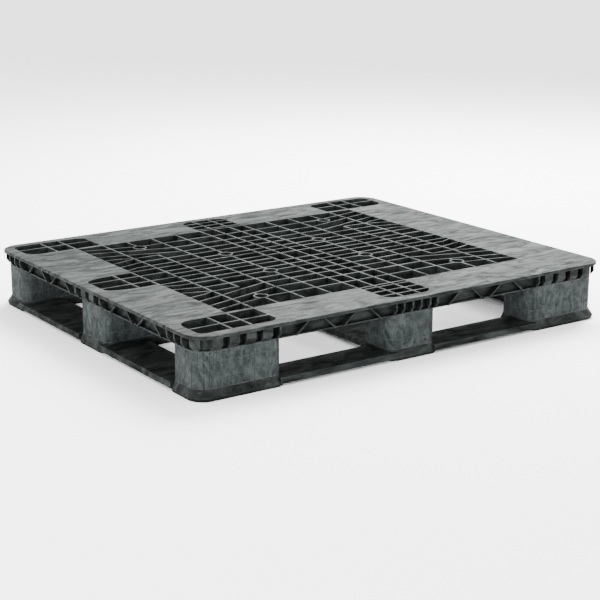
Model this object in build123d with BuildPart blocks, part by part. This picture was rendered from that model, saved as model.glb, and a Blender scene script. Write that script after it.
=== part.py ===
"""Nine-block, four-way plastic pallet: ribbed top deck, nine hollow blocks, perimeter bottom frame, screws."""
import math
import os

from build123d import *

# ---------------------------------------------------------------- overall
LENGTH = 1219.0          # X, 48 in
WIDTH = 1016.0           # Y, 40 in
HEIGHT = 150.0           # Z
DECK_Z = 110.0           # underside of the top deck, which sits on the blocks
FOOT_Z = 26.0            # top of the feet, on which the blocks stand
CORNER_R = 55.0          # plan radius of the deck's corners

# ---------------------------------------------------------------- top deck
SKIN = 7.0               # solid plates and rim
LIP_ROUND = 2.5          # rounding of the outer edge of the lip
RIB = 5.0                # grid ribs
FINE_RIB = 4.0           # fan ribs and hidden ribs under the plates
RIM_X = 30.0             # width of the solid rim along the ends
RIM_Y = 28.0             # width of the solid rim along the sides
WALL_INSET = 15.0        # block walls stand this far inside the rim
BAND_WALL = 24.0         # inset of the upright wall behind the rim
BAND_T = 5.0
FLANGE_T = 2.5           # lower flange of the rim band
PILASTER_INSET = 5.0     # the lip overhangs the pilasters by this much
SLOPE_Z = 124.0          # rim pilasters slope inwards below this height
GRID_X = 443.5           # half size of the open grid
GRID_Y = 364.0
POCKET_X = 371.5         # inner end of the corner and end pockets
POCKET_Y = 375.0         # inner side of the corner pockets
END_POCKET_Y = 67.0      # half width of the pockets over the middle end blocks
SIDE_POCKET_X = 70.5     # half width of the pockets over the middle side blocks
RING_OD = 38.0
RING_ID = 29.0
BOSS_OD = 18.0           # screw bosses
BOSS_TOP = 134.0
SCREW_OFF_RIB = 8.0      # deck screws stand beside a rib, fused to it by their boss
SCREW_OFF_LINE = 18.0

# ribs that run along Y, by their distance from the middle of the deck
NEAR_X, EDGE_X, MID_X, FAR_X, RING_X, END_X = 25.5, 70.5, 148.0, 224.0, 299.0, 371.0
PLATE_X = GRID_X + RIB / 2
OUTER_X = 498.5
# ribs that run along X, by their distance from the middle of the deck
NEAR_Y, BLOCK_Y, ROW3_Y, ROW4_Y, ROW5_Y, ROW6_Y, ROW7_Y = 33.5, 73.0, 105.0, 151.0, 192.5, 241.0, 300.0
PLATE_Y = GRID_Y + RIB / 2
POCKET_MID_Y = 434.0

# ---------------------------------------------------------------- blocks
BLOCK_LONG = 223.0       # X size of the end blocks
BLOCK_SHORT = 139.0      # X size of the middle blocks
BLOCK_SIDE = 116.0       # Y size of the blocks along the two sides
BLOCK_MID = 134.0        # Y size of the blocks in the middle row
BLOCK_WALL = 5.0
BLOCK_R = 27.0
BLOCK_OUTER_R = CORNER_R - WALL_INSET
BLOCK_X = LENGTH / 2 - WALL_INSET - BLOCK_LONG / 2
BLOCK_Y_POS = WIDTH / 2 - WALL_INSET - BLOCK_SIDE / 2
GROOVE_LINES = (87.0, 50.0)  # heights of the moulded lines round every block
GROOVE_W = 1.6
GROOVE_D = 1.0
TILE_GROOVE_W = 2.0
DIMPLE_D = 7.0
CENTRE_DIMPLES = ((-32.0, 37.0), (0.0, 37.0), (32.0, 37.0))
END_DIMPLES = ((6.5, 31.0),)
TILE_LINES = (40.5, 48.0, 78.0)
FLUTES = ((16.0, 2.0), (40.0, 2.0), (58.0, 6.0), (76.0, 2.0))  # angle on the corner, width
FLUTE_D = 1.6
LUG_R = 2.5
LUG_Y = 24.0
LUG_Z = 85.0
DIMPLE_DEPTH = 2.0

# ---------------------------------------------------------------- bottom frame
RUNNER_TOP = 22.0
RUNNER_Z = 7.5           # underside of the runners, clear of the floor
RUNNER_SKIN = 5.0
FRAME_INSET = 5.0        # the frame's edge, inside the deck's rim
SIDE_RUNNER = 89.0       # front and back runners
END_RUNNER = 115.0       # left and right runners
CROSS_RUNNER = 134.0     # both runners of the middle cross
WINDOW_R = 22.0
FOOT_FLARE = 9.0         # flare of a foot towards the outside of the pallet
FOOT_FLARE_IN = 5.0      # and towards the fork openings
FOOT_WIDEST_Z = 8.0
FOOT_WALL = 6.0
FOOT_SKIN = 6.0
SKIRT_CLEAR = 20.0       # how far the runners are cleared outside a foot
SKIRT_MEET = 14.0        # how far before a foot's rounded corner they meet it

# ---------------------------------------------------------------- screws
SHANK = 6.0
SCREW_CLEARANCE = 0.25   # radial clearance of every screw hole
HEAD_D = 12.0
HEAD_H = 4.0
COUNTERBORE_D = 15.0
COUNTERBORE_Z = 12.0
BASE_SCREW_TIP = 62.0
DECK_SCREW_TIP = 130.0
PAD_D = 22.0             # pads in the top of a block under each deck screw
PAD_T = 6.0

os.makedirs("parts", exist_ok=True)


# ================================================================ shared outlines
def cos_of(degrees):
    """Cosine of an angle in degrees."""
    return math.cos(math.radians(degrees))


def sin_of(degrees):
    """Sine of an angle in degrees."""
    return math.sin(math.radians(degrees))


def signs():
    """The four quadrants."""
    return [(sx, sy) for sx in (1, -1) for sy in (1, -1)]


def strip(x1, y1, x2, y2, thickness):
    """A straight rib seen from above, running half its thickness past both ends."""
    run = Vector(x2 - x1, y2 - y1)
    angle = Vector(1, 0).get_signed_angle(run, Vector(0, 0, 1))
    place = Location(((x1 + x2) / 2, (y1 + y2) / 2, 0), (0, 0, angle))
    return place * Rectangle(run.length + thickness, thickness)


def rib_chain(points, thickness):
    """Ribs through a list of points, in all four quadrants."""
    return [
        strip(sx * x1, sy * y1, sx * x2, sy * y2, thickness)
        for sx, sy in signs()
        for (x1, y1), (x2, y2) in zip(points, points[1:])
    ]


def rib_along_y(offset, reach, thickness=RIB):
    """A pair of ribs along Y, on both sides of the middle, reaching from end to end."""
    return [strip(side * offset, -reach, side * offset, reach, thickness) for side in (1, -1)]


def ribs_along_y(offset, y1, y2, thickness=RIB):
    """Four ribs along Y, one in each quadrant, from y1 to y2."""
    return [strip(sx * offset, sy * y1, sx * offset, sy * y2, thickness) for sx, sy in signs()]


def rib_along_x(offset, reach, thickness=RIB):
    """A pair of ribs along X, on both sides of the middle, reaching from side to side."""
    return [strip(-reach, side * offset, reach, side * offset, thickness) for side in (1, -1)]


def ribs_along_x(offset, x1, x2, thickness=RIB):
    """Four ribs along X, one in each quadrant, from x1 to x2."""
    return [strip(sx * x1, sy * offset, sx * x2, sy * offset, thickness) for sx, sy in signs()]


def rim_outline(inset, mode=Mode.ADD):
    """The deck's outline, moved in by an inset."""
    RectangleRounded(LENGTH - 2 * inset, WIDTH - 2 * inset, CORNER_R - inset, mode=mode)


def corner_pocket(margin=0.0):
    """The opening over one corner block, with its four different corner radii."""
    x_in, x_out = POCKET_X - margin, LENGTH / 2 - RIM_X + margin
    y_in, y_out = POCKET_Y - margin, WIDTH / 2 - RIM_Y + margin
    with BuildSketch() as pocket:
        with Locations(((x_in + x_out) / 2, (y_in + y_out) / 2)):
            Rectangle(x_out - x_in, y_out - y_in)
        by_x = pocket.vertices().group_by(Axis.X)
        near, far = by_x[0].sort_by(Axis.Y), by_x[-1].sort_by(Axis.Y)
        fillet(far[-1], 20 + margin)
        fillet(pocket.vertices().sort_by_distance(Vector(*far[0]))[0], 34 + margin)
        fillet(pocket.vertices().sort_by_distance(Vector(*near[-1]))[0], 27 + margin)
    return pocket.sketch


def end_pocket(margin=0.0):
    """The long opening over a middle end block, open to the grid at its inner end."""
    x_out = LENGTH / 2 - RIM_X + margin
    half = END_POCKET_Y + margin
    with BuildSketch() as pocket:
        with BuildLine():
            a = Line((GRID_X - 80, -half), (x_out - 75, -half))
            b = EllipticalCenterArc((x_out - 75, -half + 27), 75, 27, start_angle=270, arc_size=90)
            c = Line(b @ 1, (x_out, half - 27))
            d = EllipticalCenterArc((x_out - 75, half - 27), 75, 27, start_angle=0, arc_size=90)
            e = Line(d @ 1, (GRID_X - 80, half))
            Line(e @ 1, a @ 0)
        make_face()
    return pocket.sketch


def side_pocket(margin=0.0):
    """The opening over a middle side block, open to the grid at its inner end."""
    y_out = WIDTH / 2 - RIM_Y + margin
    half = SIDE_POCKET_X + margin
    with BuildSketch() as pocket:
        with Locations((0, (GRID_Y - 20 + y_out) / 2)):
            Rectangle(2 * half, y_out - GRID_Y + 20)
        fillet(pocket.vertices().group_by(Axis.Y)[-1], 34 + margin)
    return pocket.sketch


def add_pockets(margin, mode):
    """All pockets and the open grid, each grown by a margin."""
    for shape in (corner_pocket(margin), end_pocket(margin), side_pocket(margin)):
        add(shape, mode=mode)
        add(mirror(shape, Plane.YZ), mode=mode)
        add(mirror(shape, Plane.XZ), mode=mode)
        add(mirror(mirror(shape, Plane.XZ), Plane.YZ), mode=mode)
    Rectangle(2 * (GRID_X + margin), 2 * (GRID_Y + margin), mode=mode)


def block_outline(block_x, block_y, size_x, size_y, margin=0.0, all_round=True):
    """Plan of one block: rounded corners, with a larger one at a corner of the pallet."""
    with BuildSketch() as plan:
        with Locations((block_x, block_y)):
            Rectangle(size_x + 2 * margin, size_y + 2 * margin)
        by_reach = plan.vertices().sort_by(lambda v: abs(v.X) + abs(v.Y))
        at_corner = block_x != 0 and block_y != 0
        round_corners = by_reach[:-1] if at_corner else by_reach
        far_corner = Vector(*by_reach[-1])
        if all_round:
            fillet(round_corners, BLOCK_R + margin)
        if at_corner:
            fillet(plan.vertices().sort_by_distance(far_corner)[0], BLOCK_OUTER_R + margin)
    return plan.sketch


# ================================================================ top deck
# distances of each fan rib from the long middle line, at the plate edge and at each cross rib
FAN_RIBS = [
    [(PLATE_X, 337), (END_X, 319), (RING_X + 14, 308)],
    [(PLATE_X, 299), (END_X, 279), (RING_X, 260), (FAR_X, ROW6_Y)],
    [(PLATE_X, 254), (END_X, 235), (RING_X, 213), (FAR_X, ROW5_Y)],
    [(PLATE_X, 214), (PLATE_X - 45, 206), (END_X, ROW5_Y), (RING_X, ROW5_Y)],
    [(PLATE_X, 168), (END_X, ROW5_Y - 3)],
    [(PLATE_X, 129), (END_X, ROW4_Y - 3)],
    [(PLATE_X, 89), (PLATE_X - 35, 103), (END_X, ROW3_Y)],
]
RINGS = [(MID_X, ROW3_Y), (RING_X, ROW7_Y - 8)]
RIM_Y_IN = WIDTH / 2 - RIM_Y
RIM_X_IN = LENGTH / 2 - RIM_X
HIDDEN_ROW_Y = 337.0


def block_centres():
    """Name, place and size of each of the nine blocks."""
    rows = (("front", -1), ("middle", 0), ("rear", 1))
    columns = (("left", -1), ("centre", 0), ("right", 1))
    for row, sy in rows:
        for column, sx in columns:
            size_x = BLOCK_LONG if sx else BLOCK_SHORT
            size_y = BLOCK_SIDE if sy else BLOCK_MID
            yield f"{row}_{column}", sx * BLOCK_X, sy * BLOCK_Y_POS, size_x, size_y


def rib_lines(block_x):
    """The two deck ribs along Y that cross a block; the block's own ribs stand under them."""
    if block_x == 0:
        return (-NEAR_X, NEAR_X)
    side = 1 if block_x > 0 else -1
    return (side * PLATE_X, side * OUTER_X)


def deck_screw_points(block_x, block_y):
    """The two screws that hold one block to the deck, each beside one of its ribs."""
    inner, outer = rib_lines(block_x)
    side = 1 if outer > inner else -1
    return [
        (inner - side * SCREW_OFF_RIB, block_y - SCREW_OFF_LINE),
        (outer + side * SCREW_OFF_RIB, block_y + SCREW_OFF_LINE),
    ]


def base_screw_points(block_x, block_y, size_x, size_y):
    """The four screws that hold one block to the bottom frame, beside its long walls."""
    reach_x = size_x / 2 - 45
    reach_y = size_y / 2 - 13
    return [(block_x + sx * reach_x, block_y + sy * reach_y) for sx, sy in signs()]


def band_slice(inset_top, inset_bottom, z_bottom, z_slope, z_top):
    """The rim band: upright above z_slope, and sloping inwards below it."""
    with BuildPart() as band:
        with BuildSketch(Plane.XY.offset(z_slope)):
            rim_outline(inset_top)
        extrude(amount=z_top - z_slope)
        with BuildSketch(Plane.XY.offset(z_bottom)):
            rim_outline(inset_bottom)
        with BuildSketch(Plane.XY.offset(z_slope)):
            rim_outline(inset_top)
        loft()
        with BuildSketch(Plane.XY.offset(z_bottom)):
            rim_outline(BAND_WALL + 1)
        extrude(amount=z_top - z_bottom, mode=Mode.SUBTRACT)
    return band.part


deck_rib_plan = [
    # ribs along Y
    *rib_along_y(NEAR_X, RIM_Y_IN),
    *rib_along_y(EDGE_X, RIM_Y_IN),
    *rib_along_y(MID_X, RIM_Y_IN),
    *rib_along_y(FAR_X, RIM_Y_IN),
    *rib_along_y(RING_X, ROW5_Y),
    *ribs_along_y(RING_X, 260, RIM_Y_IN),
    *rib_along_y(END_X, RIM_Y_IN),
    *rib_along_y(PLATE_X, RIM_Y_IN),
    *rib_along_y(OUTER_X, RIM_Y_IN),
    # ribs along X
    strip(-END_X, 0, -EDGE_X, 0, RIB),
    strip(EDGE_X, 0, END_X, 0, RIB),
    *rib_along_x(NEAR_Y, END_X),
    *ribs_along_x(NEAR_Y - 6, END_X, RIM_X_IN),
    *rib_along_x(BLOCK_Y, PLATE_X),
    *rib_along_x(ROW3_Y, END_X),
    *rib_along_x(ROW4_Y, END_X),
    *rib_along_x(ROW5_Y, FAR_X),
    *rib_along_x(ROW6_Y, FAR_X),
    *rib_along_x(ROW7_Y, RING_X - 16),
    *rib_along_x(PLATE_Y, PLATE_X),
    *ribs_along_x(POCKET_MID_Y, EDGE_X, RIM_X_IN),
]
for row in (PLATE_Y + 16, POCKET_MID_Y - 16, POCKET_MID_Y + 19):
    deck_rib_plan += rib_along_x(row, EDGE_X)
for row in (ROW3_Y, ROW4_Y, ROW5_Y, ROW6_Y, ROW7_Y, HIDDEN_ROW_Y):
    deck_rib_plan += ribs_along_x(row, PLATE_X, RIM_X_IN, FINE_RIB)
for chain in FAN_RIBS:
    deck_rib_plan += rib_chain(chain, FINE_RIB)

with BuildPart() as deck_ribs:
    with BuildSketch(Plane.XY.offset(DECK_Z)) as rib_plan:
        add(deck_rib_plan)
        for x, y in RINGS:
            with Locations(*[(sx * x, sy * y) for sx, sy in signs()]):
                Circle(RING_OD / 2)
                Circle(RING_ID / 2, mode=Mode.SUBTRACT)
    extrude(amount=HEIGHT - DECK_Z)

with BuildPart() as pocket_walls:
    with BuildSketch(Plane.XY.offset(DECK_Z)):
        add_pockets(RIB, Mode.ADD)
        add_pockets(0, Mode.SUBTRACT)
    extrude(amount=HEIGHT - DECK_Z)

# The band of pilasters over the blocks: their places along each edge, from the middle of that edge
SIDE_PILASTERS = [(505.5, 25), (462.5, 25), (419.5, 25), (548.5, 25), (386.5, 4), (12.5, 4), (61.5, 4), (-39, 4)]
END_PILASTERS = [(442, 5), (411, 5), (380, 5), (18.5, 18), (-23.5, 18), (65, 5), (-61, 5)]
TRUSS_HALF_TOP = 13.0
TRUSS_HALF_FOOT = 54.0
TRUSS_OFFSET = 65.5
TRUSS_T = 3.0
TRUSS_INSET = 11.0
CORNER_PILASTER_X, CORNER_PILASTER_Y, CORNER_PILASTER_R = 9.0, 22.0, 15.0
SPAN_X = (POCKET_X + EDGE_X) / 2 - 1
SPAN_Y = (END_POCKET_Y + POCKET_Y) / 2 + 2

with BuildPart() as pilasters:
    add(band_slice(PILASTER_INSET, WALL_INSET, DECK_Z, SLOPE_Z, HEIGHT - SKIN / 2))
    with BuildSketch(Plane.XY.offset(DECK_Z)):
        for place, width in SIDE_PILASTERS:
            for side in (1, -1):
                with Locations((side * place, WIDTH / 2 - 20), (side * place, 20 - WIDTH / 2)):
                    Rectangle(width, 50)
        for place, width in END_PILASTERS:
            for side in (1, -1):
                with Locations((LENGTH / 2 - 20, side * place), (20 - LENGTH / 2, side * place)):
                    Rectangle(50, width)
        for sx, sy in signs():
            with Locations((sx * (LENGTH / 2 - CORNER_PILASTER_X), sy * (WIDTH / 2 - CORNER_PILASTER_Y))):
                Circle(CORNER_PILASTER_R)
    extrude(amount=HEIGHT - DECK_Z, mode=Mode.INTERSECT)


def truss(span_centre):
    """The sloping ribs of one fork opening, in elevation."""
    return [
        strip(
            centre + side * TRUSS_HALF_TOP,
            HEIGHT - SKIN / 2,
            centre + side * TRUSS_HALF_FOOT,
            DECK_Z + FLANGE_T / 2,
            TRUSS_T,
        )
        for centre in (span_centre - TRUSS_OFFSET, span_centre + TRUSS_OFFSET)
        for side in (1, -1)
    ]


side_trusses = truss(SPAN_X) + truss(-SPAN_X)
end_trusses = truss(SPAN_Y) + truss(-SPAN_Y)

with BuildPart() as trusses:
    with BuildSketch(Plane.XZ.offset(-WIDTH / 2)):
        add(side_trusses)
    extrude(amount=WIDTH)
    with BuildSketch(Plane.YZ.offset(-LENGTH / 2)):
        add(end_trusses)
    extrude(amount=LENGTH)
    add(band_slice(TRUSS_INSET, TRUSS_INSET, DECK_Z, SLOPE_Z, HEIGHT - SKIN / 2), mode=Mode.INTERSECT)

with BuildPart() as top_deck:
    with BuildSketch(Plane.XY.offset(HEIGHT - SKIN)):
        rim_outline(0)
    extrude(amount=SKIN)
    fillet(top_deck.edges().group_by(Axis.Z)[-1], LIP_ROUND)
    with BuildSketch(Plane.XY.offset(HEIGHT - SKIN)):
        add_pockets(0, Mode.ADD)
    extrude(amount=SKIN, mode=Mode.SUBTRACT)
    add(deck_ribs.part)
    add(pocket_walls.part)
    with BuildSketch(Plane.XY.offset(DECK_Z)):
        rim_outline(BAND_WALL)
        rim_outline(BAND_WALL + BAND_T, Mode.SUBTRACT)
    extrude(amount=HEIGHT - DECK_Z - SKIN / 2)
    with BuildSketch(Plane.XY.offset(DECK_Z)):
        rim_outline(WALL_INSET)
        rim_outline(BAND_WALL + 1, Mode.SUBTRACT)
    extrude(amount=FLANGE_T)
    add(pilasters.part)
    add(trusses.part)
    deck_screws = [p for _, x, y, _, _ in block_centres() for p in deck_screw_points(x, y)]
    with BuildSketch(Plane.XY.offset(DECK_Z)):
        with Locations(*deck_screws):
            Circle(BOSS_OD / 2)
    extrude(amount=BOSS_TOP - DECK_Z)
    with BuildSketch(Plane.XY.offset(DECK_Z)):
        with Locations(*deck_screws):
            Circle(SHANK / 2 + SCREW_CLEARANCE)
    extrude(amount=DECK_SCREW_TIP + 1 - DECK_Z, mode=Mode.SUBTRACT)

top_deck.part.label = "top_deck"
export_step(top_deck.part, "parts/top_deck.step")


# ================================================================ blocks
def block(name, block_x, block_y, size_x, size_y):
    """One hollow block: outer shell, inner ribs under the deck's ribs, screw bosses and pads."""
    bosses = base_screw_points(block_x, block_y, size_x, size_y)
    pads = deck_screw_points(block_x, block_y)
    reach = size_y / 2 - BLOCK_WALL / 2
    inner_ribs = [strip(x, block_y - reach, x, block_y + reach, FINE_RIB) for x in rib_lines(block_x)]
    reach = size_x / 2 - BLOCK_WALL / 2
    inner_ribs.append(strip(block_x - reach, block_y, block_x + reach, block_y, FINE_RIB))
    with BuildPart() as shell:
        with BuildSketch(Plane.XY.offset(FOOT_Z)):
            add(block_outline(block_x, block_y, size_x, size_y))
            add(block_outline(block_x, block_y, size_x, size_y, -BLOCK_WALL), mode=Mode.SUBTRACT)
            add(inner_ribs)
        extrude(amount=DECK_Z - FOOT_Z)
        with BuildSketch(Plane.XY.offset(FOOT_Z)):
            with Locations(*bosses):
                Circle(BOSS_OD / 2)
        extrude(amount=BASE_SCREW_TIP + 6 - FOOT_Z)
        # pads that carry the deck screws, each fused to an inner rib
        with BuildSketch(Plane.XY.offset(DECK_Z - PAD_T)):
            with Locations(*pads):
                Circle(PAD_D / 2)
        extrude(amount=PAD_T)
        with Locations(*[(x, y, FOOT_Z) for x, y in bosses]):
            Cylinder(
                SHANK / 2 + SCREW_CLEARANCE,
                BASE_SCREW_TIP + 1 - FOOT_Z,
                align=(Align.CENTER, Align.CENTER, Align.MIN),
                mode=Mode.SUBTRACT,
            )
        with Locations(*[(x, y, DECK_Z - PAD_T) for x, y in pads]):
            Cylinder(
                SHANK / 2 + SCREW_CLEARANCE,
                PAD_T,
                align=(Align.CENTER, Align.CENTER, Align.MIN),
                mode=Mode.SUBTRACT,
            )
        # room for the heads of the deck screws beside the inner ribs
        with Locations(*[(x, y, DECK_Z - PAD_T) for x, y in pads]):
            Cylinder(
                HEAD_D / 2 + 1,
                HEAD_H + 20,
                align=(Align.CENTER, Align.CENTER, Align.MAX),
                mode=Mode.SUBTRACT,
            )
        # moulded lines round the block
        for height in GROOVE_LINES:
            with BuildSketch(Plane.XY.offset(height - GROOVE_W / 2)):
                add(block_outline(block_x, block_y, size_x, size_y, 5))
                add(block_outline(block_x, block_y, size_x, size_y, -GROOVE_D), mode=Mode.SUBTRACT)
            extrude(amount=GROOVE_W, mode=Mode.SUBTRACT)
        # shallow dimples in the two long walls
        dimples = CENTRE_DIMPLES if block_x == 0 else END_DIMPLES
        for side in (1, -1):
            with BuildSketch(Plane.XZ.offset(-(block_y + side * size_y / 2))):
                with Locations(*[(block_x + dx, z) for dx, z in dimples]):
                    Circle(DIMPLE_D / 2)
            extrude(amount=DIMPLE_DEPTH, both=True, mode=Mode.SUBTRACT)
        # upright mould lines near the ends of the long walls
        if block_x:
            with BuildSketch(Plane.XY.offset(FOOT_Z)):
                with Locations((block_x, block_y)):
                    for reach in TILE_LINES:
                        with GridLocations(size_x - 2 * reach, size_y, 2, 2):
                            Rectangle(TILE_GROOVE_W, 2 * GROOVE_D)
            extrude(amount=DECK_Z - FOOT_Z, mode=Mode.SUBTRACT)
        # upright flutes on the large rounded corner
        if block_x and block_y:
            side_x = 1 if block_x > 0 else -1
            side_y = 1 if block_y > 0 else -1
            arc_x = block_x + side_x * (size_x / 2 - BLOCK_OUTER_R)
            arc_y = block_y + side_y * (size_y / 2 - BLOCK_OUTER_R)
            with BuildSketch(Plane.XY.offset(FOOT_Z)):
                for angle, width in FLUTES:
                    turn = math.degrees(math.atan2(side_y * sin_of(angle), side_x * cos_of(angle)))
                    reach_x = arc_x + BLOCK_OUTER_R * side_x * cos_of(angle)
                    reach_y = arc_y + BLOCK_OUTER_R * side_y * sin_of(angle)
                    with Locations(Location((reach_x, reach_y, 0), (0, 0, turn))):
                        Rectangle(2 * FLUTE_D, width)
            extrude(amount=DECK_Z - FOOT_Z, mode=Mode.SUBTRACT)
        # small lug on the wall that faces a fork opening
        if block_x:
            inner_wall = block_x - (size_x / 2) * (1 if block_x > 0 else -1)
            with Locations(*[(inner_wall, block_y + side * LUG_Y, LUG_Z) for side in (1, -1)]):
                Cylinder(LUG_R, 2 * LUG_R, rotation=(90, 0, 0))
    shell.part.label = f"block_{name}"
    return shell.part


for block_name, x, y, size_x, size_y in block_centres():
    block_part = block(block_name, x, y, size_x, size_y)
    export_step(block_part, f"parts/block_{block_name}.step")


# ================================================================ bottom frame
def frame_plan(margin):
    """Plan of the runners: a perimeter and a cross, with four windows; grown by a margin."""
    window_x1 = CROSS_RUNNER / 2
    window_x2 = LENGTH / 2 - FRAME_INSET - END_RUNNER
    window_y1 = CROSS_RUNNER / 2
    window_y2 = WIDTH / 2 - FRAME_INSET - SIDE_RUNNER
    inset = FRAME_INSET - margin
    with BuildSketch() as plan:
        RectangleRounded(LENGTH - 2 * inset, WIDTH - 2 * inset, CORNER_R - inset)
        for sx, sy in signs():
            with Locations((sx * (window_x1 + window_x2) / 2, sy * (window_y1 + window_y2) / 2)):
                RectangleRounded(
                    window_x2 - window_x1 - 2 * margin,
                    window_y2 - window_y1 - 2 * margin,
                    WINDOW_R - margin,
                    mode=Mode.SUBTRACT,
                )
    return plan.sketch


def foot_plan(block_x, block_y, size_x, size_y, grown):
    """Plan of a foot: the block's plan, grown outwards more than towards the fork openings."""
    out_x = FOOT_FLARE if block_x else FOOT_FLARE_IN
    out_y = FOOT_FLARE if block_y else FOOT_FLARE_IN
    in_x = FOOT_FLARE_IN
    in_y = FOOT_FLARE_IN
    side_x = 1 if block_x >= 0 else -1
    side_y = 1 if block_y >= 0 else -1
    centre_x = block_x + side_x * grown * (out_x - in_x) / 2
    centre_y = block_y + side_y * grown * (out_y - in_y) / 2
    return block_outline(
        centre_x, centre_y, size_x + grown * (out_x + in_x), size_y + grown * (out_y + in_y)
    )


def rectangle_between(x_ends, y_ends):
    """A rectangle between two places along X and two along Y, added to the current sketch."""
    with Locations((sum(x_ends) / 2, sum(y_ends) / 2)):
        Rectangle(abs(x_ends[1] - x_ends[0]), abs(y_ends[1] - y_ends[0]))


def skirt_span(centre, side, half):
    """Where a foot's outer skirt starts and ends along one edge of the pallet."""
    to_opening = half - SKIRT_MEET
    to_corner = half + SKIRT_CLEAR
    if side == 0:
        return (centre - to_opening, centre + to_opening)
    return (centre - side * to_opening, centre + side * to_corner)


FEET = list(block_centres())
BASE_SCREWS = [p for _, x, y, sx, sy in FEET for p in base_screw_points(x, y, sx, sy)]
DECK_SCREW_POINTS = [p for _, x, y, _, _ in FEET for p in deck_screw_points(x, y)]

cross_ribs = []
for step in range(-9, 10):
    station_x = step * 64.0
    for side in (1, -1):
        edge = WIDTH / 2 - FRAME_INSET
        cross_ribs.append(strip(station_x, side * (edge - SIDE_RUNNER), station_x, side * edge, FINE_RIB))
    cross_ribs.append(strip(station_x, -CROSS_RUNNER / 2, station_x, CROSS_RUNNER / 2, FINE_RIB))
for step in range(-7, 8):
    station_y = step * 66.0
    for side in (1, -1):
        edge = LENGTH / 2 - FRAME_INSET
        cross_ribs.append(strip(side * (edge - END_RUNNER), station_y, side * edge, station_y, FINE_RIB))
    cross_ribs.append(strip(-CROSS_RUNNER / 2, station_y, CROSS_RUNNER / 2, station_y, FINE_RIB))
for side in (1, -1):
    reach_x = LENGTH / 2 - 20
    reach_y = WIDTH / 2 - 20
    line_y = WIDTH / 2 - FRAME_INSET - SIDE_RUNNER / 2
    line_x = LENGTH / 2 - FRAME_INSET - END_RUNNER / 2
    cross_ribs.append(strip(-reach_x, side * line_y, reach_x, side * line_y, FINE_RIB))
    cross_ribs.append(strip(side * line_x, -reach_y, side * line_x, reach_y, FINE_RIB))

with BuildPart() as runners:
    with BuildSketch(Plane.XY.offset(RUNNER_Z)):
        add(cross_ribs)
        add(frame_plan(-FOOT_WALL / 2), mode=Mode.INTERSECT)
    extrude(amount=RUNNER_TOP - RUNNER_SKIN / 2 - RUNNER_Z)
    with BuildSketch(Plane.XY.offset(RUNNER_Z)):
        add(frame_plan(0))
        add(frame_plan(-FOOT_WALL), mode=Mode.SUBTRACT)
    extrude(amount=RUNNER_TOP - RUNNER_Z)
    with BuildSketch(Plane.XY.offset(RUNNER_TOP - RUNNER_SKIN)):
        add(frame_plan(0))
    extrude(amount=RUNNER_SKIN)
    # the runners give way to the sloping skirts of the feet along the outside of the pallet,
    # and meet them again at their rounded corners
    for _, x, y, size_x, size_y in FEET:
        side_x = (x > 0) - (x < 0)
        side_y = (y > 0) - (y < 0)
        if side_x or side_y:
            with BuildSketch(Plane.XY.offset(RUNNER_Z)):
                if side_y:
                    outer = y + side_y * (size_y / 2 + SKIRT_CLEAR)
                    rectangle_between(skirt_span(x, side_x, size_x / 2), (y, outer))
                if side_x:
                    outer = x + side_x * (size_x / 2 + SKIRT_CLEAR)
                    rectangle_between((x, outer), skirt_span(y, side_y, size_y / 2))
                add(block_outline(x, y, size_x, size_y, -1, all_round=False), mode=Mode.SUBTRACT)
            extrude(amount=RUNNER_TOP - RUNNER_Z, mode=Mode.SUBTRACT)


def foot(block_x, block_y, size_x, size_y):
    """One foot: flared skirt, ribbed hollow underside, and sunk posts for the base screws."""
    posts = base_screw_points(block_x, block_y, size_x, size_y)
    cells_x = 4 if block_x else 2
    cell_x = (size_x - 2 * FOOT_WALL - (cells_x - 1) * FINE_RIB) / cells_x
    cell_y = (size_y - 2 * FOOT_WALL - FINE_RIB) / 2
    with BuildPart() as skirt:
        with BuildSketch(Plane.XY.offset(FOOT_WIDEST_Z)):
            add(foot_plan(block_x, block_y, size_x, size_y, 1.0))
        with BuildSketch(Plane.XY.offset(FOOT_Z)):
            add(foot_plan(block_x, block_y, size_x, size_y, 0.0))
        loft()
        with BuildSketch(Plane.XY.offset(FOOT_WIDEST_Z)):
            add(foot_plan(block_x, block_y, size_x, size_y, 1.0))
        with BuildSketch():
            add(foot_plan(block_x, block_y, size_x, size_y, 0.7))
        loft()
        with BuildSketch():
            with Locations((block_x, block_y)):
                with GridLocations(cell_x + FINE_RIB, cell_y + FINE_RIB, cells_x, 2):
                    RectangleRounded(cell_x, cell_y, 8)
        extrude(amount=FOOT_Z - FOOT_SKIN, mode=Mode.SUBTRACT)
        with BuildSketch():
            with Locations(*posts):
                Circle(COUNTERBORE_D / 2 + 3.5)
        extrude(amount=FOOT_Z)
    return skirt.part


with BuildPart() as bottom_frame:
    add(runners.part)
    add([foot(x, y, size_x, size_y) for _, x, y, size_x, size_y in FEET])
    with BuildSketch():
        with Locations(*BASE_SCREWS):
            Circle(COUNTERBORE_D / 2)
    extrude(amount=COUNTERBORE_Z, mode=Mode.SUBTRACT)
    with BuildSketch():
        with Locations(*BASE_SCREWS):
            Circle(SHANK / 2 + SCREW_CLEARANCE)
    extrude(amount=FOOT_Z, mode=Mode.SUBTRACT)

bottom_frame.part.label = "bottom_frame"
export_step(bottom_frame.part, "parts/bottom_frame.step")


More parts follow.
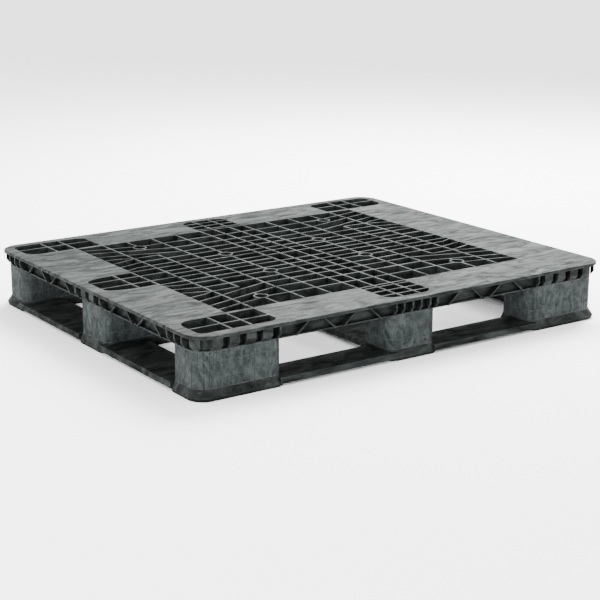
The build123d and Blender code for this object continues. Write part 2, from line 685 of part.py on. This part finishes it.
# ================================================================ screws
def screws(name, points, head_z, tip_z):
    """A group of pan-head screws that point upwards, all alike, with cross recesses."""
    with BuildPart() as group:
        with Locations(*[(x, y, head_z) for x, y in points]):
            Cylinder(HEAD_D / 2, HEAD_H, align=(Align.CENTER, Align.CENTER, Align.MAX))
        fillet(group.faces().sort_by(Axis.Z)[: len(points)].edges(), 1.2)
        with Locations(*[(x, y, head_z) for x, y in points]):
            Cylinder(SHANK / 2, tip_z - 4 - head_z, align=(Align.CENTER, Align.CENTER, Align.MIN))
        with Locations(*[(x, y, tip_z - 4) for x, y in points]):
            Cone(SHANK / 2, 0.8, 4, align=(Align.CENTER, Align.CENTER, Align.MIN))
        with Locations(*[(x, y, head_z - HEAD_H) for x, y in points]):
            Box(7, 1.4, 2.2, align=(Align.CENTER, Align.CENTER, Align.MIN), mode=Mode.SUBTRACT)
            Box(1.4, 7, 2.2, align=(Align.CENTER, Align.CENTER, Align.MIN), mode=Mode.SUBTRACT)
    group.part.label = name
    return group.part


for block_name, x, y, size_x, size_y in block_centres():
    base_group = screws(
        f"base_screws_{block_name}", base_screw_points(x, y, size_x, size_y), COUNTERBORE_Z, BASE_SCREW_TIP
    )
    export_step(base_group, f"parts/base_screws_{block_name}.step")
    deck_group = screws(
        f"deck_screws_{block_name}", deck_screw_points(x, y), DECK_Z - PAD_T, DECK_SCREW_TIP
    )
    export_step(deck_group, f"parts/deck_screws_{block_name}.step")
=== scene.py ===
"""Looks of the plastic pallet: moulded plastic and steel materials, floor, studio light and camera."""

import math

import bpy
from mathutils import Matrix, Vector

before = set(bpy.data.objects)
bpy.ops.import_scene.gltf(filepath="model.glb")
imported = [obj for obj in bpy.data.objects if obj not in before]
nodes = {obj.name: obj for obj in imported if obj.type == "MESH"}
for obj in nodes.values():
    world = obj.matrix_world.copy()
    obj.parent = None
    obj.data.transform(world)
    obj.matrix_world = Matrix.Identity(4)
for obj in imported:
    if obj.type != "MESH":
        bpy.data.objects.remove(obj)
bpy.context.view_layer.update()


# ---------------------------------------------------------------- camera
# Measured from the middle of the pallet on the floor, in metres
CAMERA_PLACE = (-2.1641, -3.1332, 1.0815)
CAMERA_YAW = 34.22          # degrees to the right of +Y
CAMERA_PITCH = 15.495       # degrees below the horizon
CAMERA_LENS = 90.46         # mm on a 36 mm wide sensor
CAMERA_SHIFT_X = 0.025


def make_camera():
    """The camera, at the photo's viewing angle."""
    data = bpy.data.cameras.new("camera")
    data.sensor_width = 36.0
    data.lens = CAMERA_LENS
    data.shift_x = CAMERA_SHIFT_X
    camera = bpy.data.objects.new("camera", data)
    bpy.context.collection.objects.link(camera)
    camera.location = CAMERA_PLACE
    camera.rotation_euler = (
        math.radians(90 - CAMERA_PITCH),
        0,
        math.radians(-CAMERA_YAW),
    )
    bpy.context.scene.camera = camera


# ---------------------------------------------------------------- node helpers
class Shader:
    """A material's node tree, with short calls for the nodes used here."""

    def __init__(self, name):
        self.material = bpy.data.materials.new(name)
        self.material.use_nodes = True
        self.tree = self.material.node_tree
        self.tree.nodes.clear()
        self.out = self.tree.nodes.new("ShaderNodeOutputMaterial")
        self.surface = self.tree.nodes.new("ShaderNodeBsdfPrincipled")
        self.link(self.surface.outputs["BSDF"], self.out.inputs["Surface"])
        self.coords = self.tree.nodes.new("ShaderNodeTexCoord").outputs["Object"]

    def link(self, source, target):
        self.tree.links.new(source, target)

    def scaled(self, sx, sy, sz, turn=0.0):
        """Object coordinates, stretched along each axis and turned about Z by some degrees."""
        node = self.tree.nodes.new("ShaderNodeMapping")
        node.inputs["Scale"].default_value = (sx, sy, sz)
        node.inputs["Rotation"].default_value = (0, 0, math.radians(turn))
        self.link(self.coords, node.inputs["Vector"])
        return node.outputs["Vector"]

    def noise(self, vector, scale, detail=4.0, rough=0.55, distortion=0.0):
        node = self.tree.nodes.new("ShaderNodeTexNoise")
        node.inputs["Scale"].default_value = scale
        node.inputs["Detail"].default_value = detail
        node.inputs["Roughness"].default_value = rough
        node.inputs["Distortion"].default_value = distortion
        self.link(vector, node.inputs["Vector"])
        return node.outputs["Fac"]

    def ramp(self, value, stops):
        """A colour ramp from (position, colour) pairs; a colour is one grey or three numbers."""
        node = self.tree.nodes.new("ShaderNodeValToRGB")
        elements = node.color_ramp.elements
        while len(elements) < len(stops):
            elements.new(0.5)
        for element, (place, colour) in zip(elements, stops):
            element.position = place
            rgb = colour if isinstance(colour, tuple) else (colour, colour, colour)
            element.color = (*rgb, 1.0)
        self.link(value, node.inputs["Fac"])
        return node.outputs["Color"]

    def mix(self, factor, a, b, blend="MIX"):
        """Two colours mixed by a factor; each may be a socket or a fixed value."""
        node = self.tree.nodes.new("ShaderNodeMix")
        node.data_type = "RGBA"
        node.blend_type = blend
        for socket, value in ((node.inputs[0], factor), (node.inputs[6], a), (node.inputs[7], b)):
            if isinstance(value, bpy.types.NodeSocket):
                self.link(value, socket)
            elif isinstance(value, tuple):
                socket.default_value = (*value, 1.0)
            else:
                socket.default_value = value
        return node.outputs[2]

    def math(self, kind, a, b):
        node = self.tree.nodes.new("ShaderNodeMath")
        node.operation = kind
        for socket, value in zip(node.inputs, (a, b)):
            if isinstance(value, bpy.types.NodeSocket):
                self.link(value, socket)
            else:
                socket.default_value = value
        return node.outputs[0]

    def bump(self, height, distance, strength=1.0, normal=None):
        node = self.tree.nodes.new("ShaderNodeBump")
        node.inputs["Strength"].default_value = strength
        node.inputs["Distance"].default_value = distance
        self.link(height, node.inputs["Height"])
        if normal is not None:
            self.link(normal, node.inputs["Normal"])
        return node.outputs["Normal"]


# ---------------------------------------------------------------- materials
WEAR_HIGHLIGHT_RADIUS = 0.0016        # m, how far wear and a painted edge highlight spread from a sharp edge
WEAR_HIGHLIGHT_STRENGTH = 0.6
WEAR_HIGHLIGHT_SIDE = 4.5             # how much paler than the plastic a worn upright edge with its painted highlight is
WEAR_HIGHLIGHT_TOP = 1.3
SCUFF_STRENGTH = 0.40
SCUFF_TOP = 1.7
RECESS_REACH = 0.05         # m, how near a wall has to be to shade a recess
RECESS_SHADE_TONE = 0.30
# Painted shade in narrow grooves, like the recess shade above.
GROOVE_REACH = 0.004
GROOVE_SHADE_TONE = 0.12
CLOUD_STRENGTH = 0.8
SPECK_STRENGTH = 0.65
GRAIN_HEIGHT = 0.0003       # m


def grey(value, tint):
    """A grey with a slight tint."""
    return tuple(value * part for part in tint)


def facing_up(shader):
    """1 on faces that look up and 0 on upright ones."""
    split = shader.tree.nodes.new("ShaderNodeSeparateXYZ")
    geometry = shader.tree.nodes.new("ShaderNodeNewGeometry")
    shader.link(geometry.outputs["True Normal"], split.inputs["Vector"])
    return shader.ramp(split.outputs["Z"], [(0.35, 0.0), (0.95, 1.0)])


def edge_wear_and_highlight(shader, radius):
    """1 along sharp edges, found as the difference between the rounded and the true normal."""
    rounded = shader.tree.nodes.new("ShaderNodeBevel")
    rounded.samples = 4
    rounded.inputs["Radius"].default_value = radius
    geometry = shader.tree.nodes.new("ShaderNodeNewGeometry")
    dot = shader.tree.nodes.new("ShaderNodeVectorMath")
    dot.operation = "DOT_PRODUCT"
    shader.link(rounded.outputs["Normal"], dot.inputs[0])
    shader.link(geometry.outputs["True Normal"], dot.inputs[1])
    return shader.ramp(dot.outputs["Value"], [(0.72, 1.0), (0.97, 0.0)])


def painted_recess_shade(shader, reach, darkest):
    """Painted shade: the darkest tone deep in recesses, where little light reaches, and 1 where the
    surface is open.
    """
    occlusion = shader.tree.nodes.new("ShaderNodeAmbientOcclusion")
    occlusion.samples = 6
    occlusion.inputs["Distance"].default_value = reach
    return shader.ramp(occlusion.outputs["AO"], [(0.25, darkest), (0.80, 1.0)])


def moulded_plastic(name, side, top, tint, flow_scale, turn, roughness, mould_bump, contrast):
    """Recycled structural foam: swirled flow marks, grain, scuffs, painted light and shade by facing
    (upper against upright faces), painted shade in recesses, worn edges with a painted highlight.
    """
    shader = Shader(name)
    even = shader.scaled(1, 1, 1)
    top_face_light_mask = facing_up(shader)

    flow = shader.noise(shader.scaled(*flow_scale, turn), 1.0, 8.0, 0.62, 1.8)
    flow_tone = shader.ramp(flow, [(0.36, 1.0 - contrast), (0.50, 1.0), (0.64, 1.0 + contrast)])
    # Painted light and shade by facing: upper faces take the top tone and upright faces the side tone.
    base = shader.mix(top_face_light_mask, grey(side, tint), grey(top, tint))
    base = shader.mix(1.0, base, flow_tone, "MULTIPLY")

    cloud = shader.noise(even, 14.0, 5.0, 0.6, 0.9)
    cloud_tone = shader.ramp(cloud, [(0.32, 0.62), (0.68, 1.15)])
    base = shader.mix(CLOUD_STRENGTH, base, cloud_tone, "MULTIPLY")
    speck = shader.noise(even, 330.0, 3.0, 0.65)
    speck_tone = shader.ramp(speck, [(0.36, 0.55), (0.62, 1.12)])
    base = shader.mix(SPECK_STRENGTH, base, speck_tone, "MULTIPLY")

    scuff = shader.noise(shader.scaled(7, 90, 90, 14), 1.0, 9.0, 0.78, 0.5)
    scuff_mask = shader.ramp(scuff, [(0.57, 0.0), (0.68, 1.0)])
    scuff_mask = shader.math("MULTIPLY", scuff_mask, SCUFF_STRENGTH)
    base = shader.mix(scuff_mask, base, grey(top * SCUFF_TOP, tint))
    # Painted shade deep in recesses, darkest where walls close in.
    base = shader.mix(1.0, base, painted_recess_shade(shader, RECESS_REACH, RECESS_SHADE_TONE), "MULTIPLY")

    # Sharp edges paler: partly real wear and partly a painted highlight where light catches the edge,
    # strongest on upright edges.
    wear_and_highlight = shader.mix(top_face_light_mask, grey(side * WEAR_HIGHLIGHT_SIDE, tint), grey(top * WEAR_HIGHLIGHT_TOP, tint))
    wear_and_highlight_mask = shader.math("MULTIPLY", edge_wear_and_highlight(shader, WEAR_HIGHLIGHT_RADIUS), WEAR_HIGHLIGHT_STRENGTH)
    base = shader.mix(wear_and_highlight_mask, base, wear_and_highlight)
    # Painted shade again in narrow grooves, laid over the worn edges.
    base = shader.mix(1.0, base, painted_recess_shade(shader, GROOVE_REACH, GROOVE_SHADE_TONE), "MULTIPLY")
    shader.link(base, shader.surface.inputs["Base Color"])

    rough = shader.ramp(cloud, [(0.3, roughness - 0.10), (0.7, roughness + 0.08)])
    shader.link(rough, shader.surface.inputs["Roughness"])
    gloss = shader.ramp(flow, [(0.36, 0.015), (0.50, 0.045), (0.64, 0.095)])
    shader.link(gloss, shader.surface.inputs["Specular IOR Level"])
    shader.surface.inputs["Specular Tint"].default_value = (*tint, 1.0)

    mottling = shader.noise(even, 130.0, 5.0, 0.62, 0.3)
    grain = shader.noise(even, 750.0, 2.0, 0.5)
    normal = shader.bump(mottling, mould_bump)
    normal = shader.bump(grain, GRAIN_HEIGHT, 0.6, normal)
    shader.link(normal, shader.surface.inputs["Normal"])
    return shader.material


def screw_steel():
    """Zinc-plated steel with fine turning marks."""
    shader = Shader("zinc_steel")
    tone = shader.noise(shader.scaled(1, 1, 1), 180.0, 4.0, 0.6)
    colour = shader.ramp(tone, [(0.3, (0.42, 0.42, 0.43)), (0.7, (0.62, 0.62, 0.63))])
    shader.link(colour, shader.surface.inputs["Base Color"])
    shader.surface.inputs["Metallic"].default_value = 1.0
    rough = shader.ramp(tone, [(0.3, 0.30), (0.7, 0.48)])
    shader.link(rough, shader.surface.inputs["Roughness"])
    turning = shader.noise(shader.scaled(200, 200, 3000), 1.0, 2.0)
    shader.link(shader.bump(turning, 0.00005), shader.surface.inputs["Normal"])
    return shader.material


def assign(obj, material):
    obj.data.materials.clear()
    obj.data.materials.append(material)


def dress_frame():
    """Gives every CAD node its material."""
    # side and top: tones for upright and upper faces, and the difference is painted light. The deck and
    # block tops are painted paler as if lit from above, and the runner's top is painted darker as if
    # shaded under the deck.
    deck = moulded_plastic(
        "deck_plastic",
        side=0.016,
        top=0.024,
        tint=(0.86, 1.0, 0.93),
        flow_scale=(9, 30, 30),
        turn=6,
        roughness=0.62,
        mould_bump=0.0016,
        contrast=0.50,
    )
    block = moulded_plastic(
        "block_plastic",
        side=0.030,
        top=0.036,
        tint=(0.86, 1.0, 1.0),
        flow_scale=(40, 40, 22),
        turn=0,
        roughness=0.62,
        mould_bump=0.0020,
        contrast=0.42,
    )
    runner = moulded_plastic(
        "frame_plastic",
        side=0.017,
        top=0.013,
        tint=(0.86, 1.0, 0.95),
        flow_scale=(8, 20, 20),
        turn=10,
        roughness=0.64,
        mould_bump=0.0016,
        contrast=0.60,
    )
    steel = screw_steel()
    for name, obj in nodes.items():
        if name == "top_deck":
            assign(obj, deck)
        elif name.startswith("block_"):
            assign(obj, block)
        elif name == "bottom_frame":
            assign(obj, runner)
        else:
            assign(obj, steel)


# ---------------------------------------------------------------- stage
FLOOR_SIZE = 40             # m
SURROUND_STRENGTH = 3.0
TOP_POWER = 640             # W
LEFT_POWER = 150            # W


def make_floor():
    """A plain pale floor at the pallet's feet."""
    bpy.ops.mesh.primitive_plane_add(size=FLOOR_SIZE, location=(0, 0, 0))
    floor = bpy.context.object
    floor.name = "studio_floor"
    shader = Shader("pale_floor")
    tone = shader.noise(shader.scaled(1, 1, 1), 3.0, 2.0)
    shader.link(shader.ramp(tone, [(0.0, 0.90), (1.0, 0.93)]), shader.surface.inputs["Base Color"])
    shader.surface.inputs["Roughness"].default_value = 0.9
    assign(floor, shader.material)


def area_light(name, place, target, size, power):
    """A white rectangular light at a place, aimed at a target."""
    data = bpy.data.lights.new(name, "AREA")
    data.shape = "RECTANGLE"
    data.size, data.size_y = size
    data.energy = power
    light = bpy.data.objects.new(name, data)
    bpy.context.collection.objects.link(light)
    light.location = place
    aim = Vector(target) - Vector(place)
    light.rotation_euler = aim.to_track_quat("-Z", "Y").to_euler()


def make_light():
    """A white studio: an even surround, a large light above on the right and a low one from the left."""
    world = bpy.data.worlds.new("studio")
    world.use_nodes = True
    background = world.node_tree.nodes["Background"]
    background.inputs["Color"].default_value = (1.0, 1.0, 1.0, 1.0)
    background.inputs["Strength"].default_value = SURROUND_STRENGTH
    bpy.context.scene.world = world
    area_light("top_light", (1.8, 1.1, 2.5), (0.3, 0, 0.1), (2.4, 2.2), TOP_POWER)
    area_light("left_light", (-3.0, -2.0, 0.8), (0, 0, 0.1), (2.0, 1.0), LEFT_POWER)


make_camera()
dress_frame()
make_floor()
make_light()
